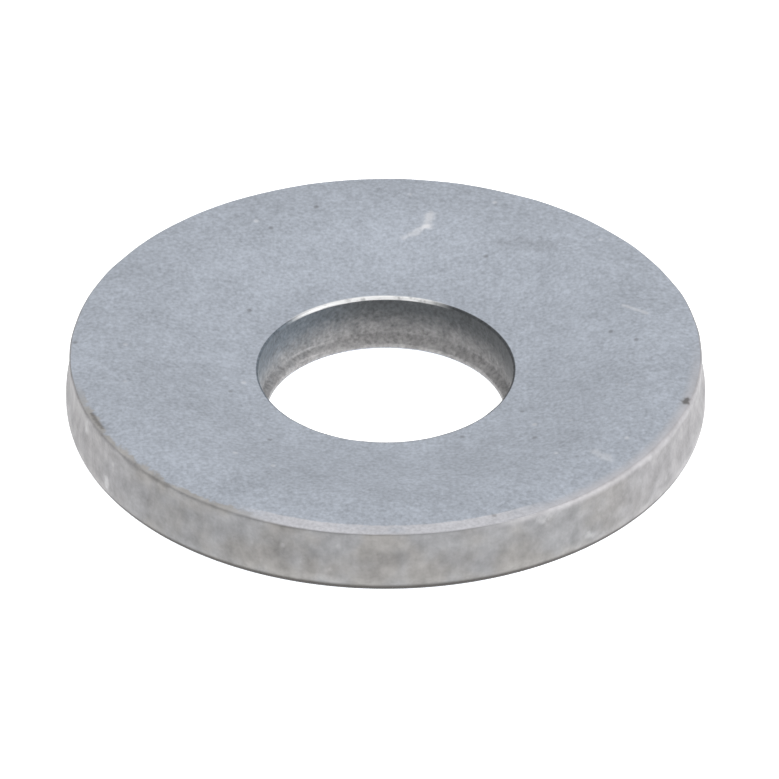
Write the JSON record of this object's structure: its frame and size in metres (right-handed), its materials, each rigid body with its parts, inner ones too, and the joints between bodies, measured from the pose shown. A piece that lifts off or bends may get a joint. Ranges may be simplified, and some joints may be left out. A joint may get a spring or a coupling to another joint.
{
  "type": "flat washer",
  "caption": "Thick, wide steel flat washer: a round disc with one central bolt hole, tumbled edges and a very slight dish, for spreading a bolt's load.",
  "frame": {"origin": "on the hole's axis, level with the bearing ring round the hole's underside, which is the lowest face", "axes": "+Z along the hole's axis, out of the slightly hollow upper face; X and Y are alike, since the washer is round"},
  "size_m": [0.0176, 0.0176, 0.0021],
  "materials": {
    "tumbled_steel": "bare steel tumbled to a fine dull grain, cool grey on the faces, warmer and mottled on the sheared edges"
  },
  "bodies": {
    "root": {"flat_washer": "tumbled_steel"}
  },
  "joints": []
}
